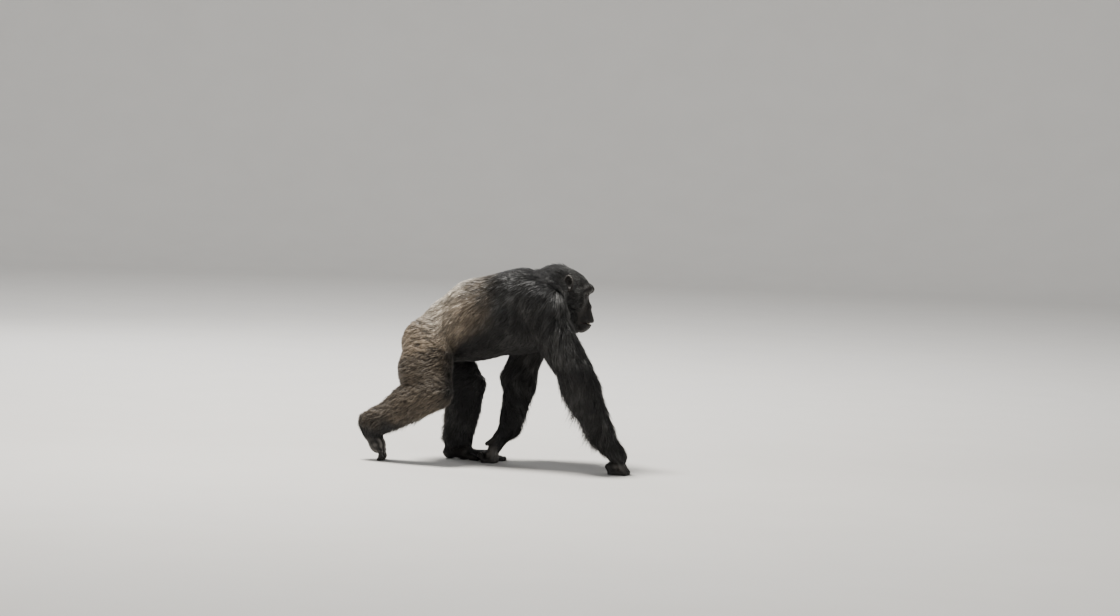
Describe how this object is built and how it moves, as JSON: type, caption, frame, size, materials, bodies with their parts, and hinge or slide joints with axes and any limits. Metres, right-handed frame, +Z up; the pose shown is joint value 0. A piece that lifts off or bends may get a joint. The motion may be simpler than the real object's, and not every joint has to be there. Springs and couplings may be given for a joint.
{
  "type": "chimpanzee",
  "caption": "Life-size still model of a male chimpanzee walking on its knuckles, with its right arm reaching ahead and its right foot pushing off behind.",
  "frame": {"origin": "middle of the bounding box's footprint, on the floor", "axes": "+X ahead, along the body toward the head; +Y to the animal's left; +Z up"},
  "size_m": [1.0128, 0.4468, 0.7567],
  "materials": {
    "dark_hair": "coarse black hair with a grey sheen",
    "pale_hair": "coarse grey-brown hair",
    "bare_skin": "dark creased skin",
    "eye": "wet dark brown"
  },
  "bodies": {
    "root": {"head": "dark_hair", "neck": "dark_hair", "chest": "dark_hair", "abdomen": "pale_hair", "pelvis": "pale_hair", "upper_arm_right": "dark_hair", "forearm_right": "dark_hair", "hand_right": "bare_skin", "upper_arm_left": "dark_hair", "forearm_left": "dark_hair", "hand_left": "bare_skin", "thigh_right": "pale_hair", "shank_right": "pale_hair", "foot_right": "bare_skin", "thigh_left": "dark_hair", "shank_left": "dark_hair", "foot_left": "bare_skin", "ear_right": "bare_skin", "ear_left": "bare_skin", "eye_right": "eye", "eye_left": "eye"}
  },
  "joints": []
}
